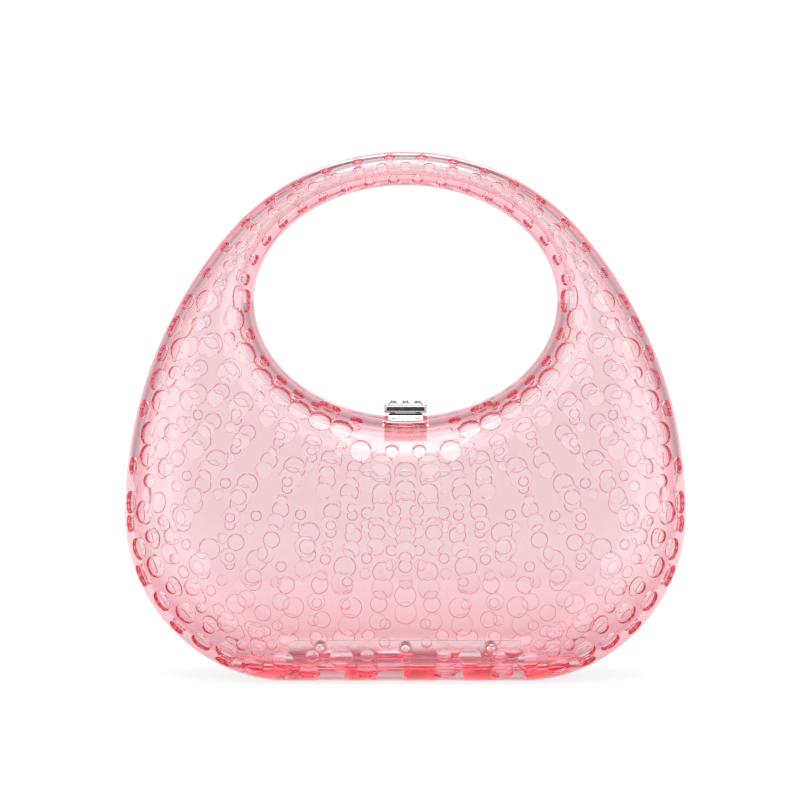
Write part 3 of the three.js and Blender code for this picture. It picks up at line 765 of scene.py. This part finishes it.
# The clasp latch.
# A cast and plated bar that swings over the catch, its leaning front raised on a narrow flange. A tongue and
# a barrel join it to the bracket's pin, and three thin collets on top hold the stones.
LATCH_HALF = 7.85
LATCH_FRONT, LATCH_BACK = -6.8, 1.3
LATCH_FOOT, LATCH_TOP = 99.3, 102.2
LATCH_ROUND = 0.3
LATCH_EDGE = 0.06
FLANGE = 0.38
FLANGE_BEHIND = 0.6
FLANGE_ROUND = 0.05
BARREL_HALF = 3.4
TONGUE_HALF = 0.7
TONGUE_ROOT = 0.5
STONE_PLACES = (-4.6, 0.0, 4.6)
STONE_Y = (LATCH_FRONT + LATCH_BACK) / 2
COLLET_INNER, COLLET_OUTER = 1.65, 1.95
COLLET_ROOT = 0.2
COLLET_TOP = LATCH_TOP + 0.5

latch = bar((FLANGE - LATCH_HALF, LATCH_HALF - FLANGE), (LATCH_FRONT, LATCH_BACK - FLANGE),
            (LATCH_FOOT + FLANGE, LATCH_TOP - FLANGE), LATCH_ROUND)
flange = bar((-LATCH_HALF, LATCH_HALF), (LATCH_FRONT + FLANGE_BEHIND, LATCH_BACK), (LATCH_FOOT, LATCH_TOP),
             FLANGE_ROUND)
for corner in [*latch.data.vertices, *flange.data.vertices]:
    if corner.co.y < STONE_Y * MM:
        corner.co.y += DRAFT * (corner.co.z - LATCH_FOOT * MM)
combine(latch, [
    flange,
    bar((-BARREL_HALF, BARREL_HALF), (LATCH_BACK - TONGUE_ROOT, PIVOT_Y),
        (PIVOT_Z - TONGUE_HALF, PIVOT_Z + TONGUE_HALF)),
    rod(EAR_RADIUS, (-BARREL_HALF, PIVOT_Y, PIVOT_Z), (BARREL_HALF, PIVOT_Y, PIVOT_Z), sides=36),
    *[rod(COLLET_OUTER, (x, STONE_Y, LATCH_TOP - COLLET_ROOT), (x, STONE_Y, COLLET_TOP), sides=40)
      for x in STONE_PLACES],
], "UNION")
combine(latch, [
    rod(CLASP_BORE, (-WIDTH, PIVOT_Y, PIVOT_Z), (WIDTH, PIVOT_Y, PIVOT_Z)),
    *[rod(COLLET_INNER, (x, STONE_Y, LATCH_TOP), (x, STONE_Y, COLLET_TOP + CUT_PAST), sides=40)
      for x in STONE_PLACES],
], "DIFFERENCE")
ease(latch, LATCH_EDGE)
latch.name = latch.data.name = "latch_bar"
fix(latch, nickel, "latch", "clasp_latch")

# The clasp stones.
# Three flat-backed cut glass stones, each with a table, eight star facets, eight kites and a sixteen-sided
# girdle, set in the collets.
STONE_FOOT = LATCH_TOP + SEATING_GAP
STONE_RINGS = (
    {"corners": 16, "radius": 1.5, "height": 0.0, "turn": 0.0},
    {"corners": 16, "radius": 1.5, "height": 0.45, "turn": 0.0},
    {"corners": 8, "radius": 1.24, "height": 0.95, "turn": 0.5},
    {"corners": 8, "radius": 0.85, "height": 1.4, "turn": 0.0},
)
FLAT_BACK = -0.9

bpy.ops.object.select_all(action="DESELECT")
rings = []
for ring in STONE_RINGS:
    bpy.ops.mesh.primitive_circle_add(vertices=ring["corners"], radius=ring["radius"] * MM,
                                      location=(0, STONE_Y * MM, (STONE_FOOT + ring["height"]) * MM),
                                      rotation=(0, 0, ring["turn"] * 2 * math.pi / ring["corners"]))
    rings.append(bpy.context.object)
for ring in rings:
    ring.select_set(True)
bpy.ops.object.join()
stone = bpy.context.object
bpy.ops.object.transform_apply(location=True, rotation=True, scale=True)
bpy.ops.object.mode_set(mode="EDIT")
bpy.ops.mesh.select_all(action="SELECT")
bpy.ops.mesh.convex_hull()
bpy.ops.mesh.normals_make_consistent(inside=False)
bpy.ops.object.mode_set(mode="OBJECT")

# Clear lead glass, cut and polished: colourless, hard-edged sparkle, with a breath of wear on the facets in
# specks of about 0.4 mm.
crystal, tree = new_material("cut_glass_crystal")
place = add(tree, "ShaderNodeTexCoord")
wear = add(tree, "ShaderNodeTexNoise", {"Vector": place.outputs["Object"], "Scale": 2500.0, "Detail": 2.0})
shine = add(tree, "ShaderNodeMapRange", {"Value": wear.outputs["Fac"], "From Min": 0.45, "From Max": 0.8,
                                        "To Min": 0.0, "To Max": 0.08})
surface = add(tree, "ShaderNodeBsdfPrincipled", {
    "Base Color": linear("#dfe3ea"), "Roughness": shine.outputs["Result"], "IOR": 1.58,
    "Transmission Weight": 1.0,
})
add(tree, "ShaderNodeOutputMaterial", {"Surface": surface.outputs["BSDF"]})

# Silver foil on the flat back, with creases half a millimetre apart, throws the light up through the facets.
foil, tree = new_material("silver_foil_backing")
place = add(tree, "ShaderNodeTexCoord")
creases = add(tree, "ShaderNodeTexNoise", {"Vector": place.outputs["Object"], "Scale": 1800.0, "Detail": 3.0})
tone = add(tree, "ShaderNodeMix", {"Factor": creases.outputs["Fac"], "A": linear("#eceaea"),
                                  "B": linear("#fbfafa")}, data_type="RGBA")
surface = add(tree, "ShaderNodeBsdfPrincipled", {
    "Base Color": tone.outputs["Result"], "Metallic": 1.0, "Roughness": 0.15,
})
add(tree, "ShaderNodeOutputMaterial", {"Surface": surface.outputs["BSDF"]})
for number, x in enumerate(STONE_PLACES):
    twin = stone.copy()
    twin.data = stone.data.copy()
    twin.name = twin.data.name = f"cut_stone_{number + 1}"
    twin.data.transform(Matrix.Translation((x * MM, 0, 0)))
    bpy.context.collection.objects.link(twin)
    fix(twin, crystal, "latch", f"clasp_stone_{number + 1}")
    twin.data.materials.append(foil)
    for face in twin.data.polygons:
        face.material_index = int(face.normal.z < FLAT_BACK)
bpy.data.meshes.remove(stone.data)

# The floor.
# A wide sweep of white paper, a hair below the feet, lit so that it goes white.
FLOOR_SIZE = 12
FLOOR_MIDDLE = (0, 0.4, -0.0001)

bpy.ops.object.select_all(action="DESELECT")
bpy.ops.mesh.primitive_plane_add(size=FLOOR_SIZE, location=FLOOR_MIDDLE)
bpy.ops.object.transform_apply(location=True, rotation=True, scale=True)
floor = bpy.context.object
floor.name = "floor"
paper, tree = new_material("white_paper_sweep")
surface = add(tree, "ShaderNodeBsdfPrincipled", {
    "Base Color": linear("#5e5e5e"), "Roughness": 0.9, "Emission Color": linear("#ffffff"),
    "Emission Strength": 0.82,
})
add(tree, "ShaderNodeOutputMaterial", {"Surface": surface.outputs["BSDF"]})
floor.data.materials.append(paper)

# The light.
# A soft white studio from behind the camera (back -1) to behind the bag (back 1), with a lamp overhead, a
# softbox above the front, two strips beside the camera, and a dark flag at it for contrast in the metal.
STUDIO_RING = (
    {"back": -1.0, "light": 0.45}, {"back": -0.985, "light": 0.45}, {"back": -0.955, "light": 1.2},
    {"back": -0.62, "light": 2.2}, {"back": -0.2, "light": 2.2}, {"back": 0.0, "light": 1.0},
    {"back": 0.35, "light": 0.9}, {"back": 0.6, "light": 0.7}, {"back": 0.8, "light": 0.52},
    {"back": 0.95, "light": 1.02}, {"back": 1.0, "light": 1.02},
)
SOFTBOX = (0.0, -0.6, 0.8)
FLAG = (0.0, -0.974, 0.225)
STRIP_OUTSIDE = (0.38, 0.58)
STRIP_INSIDE = (0.42, 0.54)

studio = bpy.data.worlds.new("studio")
bpy.context.scene.world = studio
studio.use_nodes = True
tree = studio.node_tree
tree.nodes.clear()
direction = add(tree, "ShaderNodeTexCoord")
parts = add(tree, "ShaderNodeSeparateXYZ", {"Vector": direction.outputs["Generated"]})
toward_back = add(tree, "ShaderNodeMapRange", {"Value": parts.outputs["Y"], "From Min": -1.0,
                                              "From Max": 1.0})
ring = add(tree, "ShaderNodeValToRGB", {"Fac": toward_back.outputs["Result"]})
stops = ring.color_ramp.elements
stops.remove(stops[1])
for number, row in enumerate(STUDIO_RING):
    stop = stops[0] if number == 0 else stops.new((row["back"] + 1) / 2)
    stop.position = (row["back"] + 1) / 2
    stop.color = [row["light"]] * 3 + [1.0]
top = add(tree, "ShaderNodeMapRange", {"Value": parts.outputs["Z"], "From Min": 0.85, "From Max": 0.95,
                                      "To Min": 0.0, "To Max": 3.5}, interpolation_type="SMOOTHSTEP")
toward_box = add(tree, "ShaderNodeVectorMath", {0: direction.outputs["Generated"], 1: SOFTBOX},
                 operation="DOT_PRODUCT")
box = add(tree, "ShaderNodeMapRange", {"Value": toward_box.outputs["Value"], "From Min": 0.97,
                                      "From Max": 0.985, "To Min": 0.0, "To Max": 4.3},
          interpolation_type="SMOOTHSTEP")
toward_flag = add(tree, "ShaderNodeVectorMath", {0: direction.outputs["Generated"], 1: FLAG},
                  operation="DOT_PRODUCT")
flag = add(tree, "ShaderNodeMapRange", {"Value": toward_flag.outputs["Value"], "From Min": 0.985,
                                       "From Max": 0.993, "To Min": 1.0, "To Max": 0.08},
           interpolation_type="SMOOTHSTEP")
sideways = add(tree, "ShaderNodeMath", {0: parts.outputs["X"]}, operation="ABSOLUTE")
strip = add(tree, "ShaderNodeValToRGB", {"Fac": sideways.outputs["Value"]})
stops = strip.color_ramp.elements
stops[1].position, stops[1].color = STRIP_OUTSIDE[1], (0.0, 0.0, 0.0, 1.0)
stops[0].position = STRIP_OUTSIDE[0]
for inside in STRIP_INSIDE:
    stops.new(inside).color = (1.0, 1.0, 1.0, 1.0)
ahead = add(tree, "ShaderNodeMapRange", {"Value": parts.outputs["Y"], "From Min": -0.6, "From Max": -0.7,
                                        "To Min": 0.0, "To Max": 1.2})
strips = add(tree, "ShaderNodeMath", {0: strip.outputs["Color"], 1: ahead.outputs["Result"]},
             operation="MULTIPLY")
both = add(tree, "ShaderNodeMath", {0: strips.outputs["Value"], 1: top.outputs["Result"]}, operation="ADD")
lamps = add(tree, "ShaderNodeMath", {0: box.outputs["Result"], 1: both.outputs["Value"]}, operation="ADD")
total = add(tree, "ShaderNodeMath", {0: ring.outputs["Color"], 1: lamps.outputs["Value"]}, operation="ADD")
shaded = add(tree, "ShaderNodeMath", {0: total.outputs["Value"], 1: flag.outputs["Result"]},
             operation="MULTIPLY")
light = add(tree, "ShaderNodeBackground", {"Color": linear("#ffffff"), "Strength": shaded.outputs["Value"]})
add(tree, "ShaderNodeOutputWorld", {"Surface": light.outputs["Background"]})
bpy.context.scene.cycles.max_bounces = 64
bpy.context.scene.cycles.transmission_bounces = 64
bpy.context.scene.cycles.glossy_bounces = 16
bpy.context.scene.view_settings.view_transform = "Standard"

# The camera.
# It looks at the front from a little above, framed as the photo is: 800 pixels square, with the bag
# 561 pixels wide and the middle of its foot at 405.5, 677.
PHOTO_SIDE = 800
PHOTO_BAG_WIDTH = 561.0
PHOTO_BAG_X = 405.5
PHOTO_FOOT = 677
PHOTO_SCALE = WIDTH / PHOTO_BAG_WIDTH
SENSOR = 36.0
CAMERA_AWAY = 1300.0
CAMERA_UP = math.radians(3.0)

aim = Vector(((PHOTO_SIDE / 2 - PHOTO_BAG_X) * PHOTO_SCALE, 0, (PHOTO_FOOT - PHOTO_SIDE / 2) * PHOTO_SCALE))
camera_data = bpy.data.cameras.new("camera")
camera_data.sensor_width = SENSOR
camera_data.lens = SENSOR * CAMERA_AWAY / (PHOTO_SIDE * PHOTO_SCALE)
camera = bpy.data.objects.new("camera", camera_data)
bpy.context.collection.objects.link(camera)
offset = Vector((0, -math.cos(CAMERA_UP), math.sin(CAMERA_UP))) * CAMERA_AWAY
camera.location = (aim + offset) * MM
camera.rotation_euler = (-offset).to_track_quat("-Z", "Y").to_euler()
bpy.context.scene.camera = camera
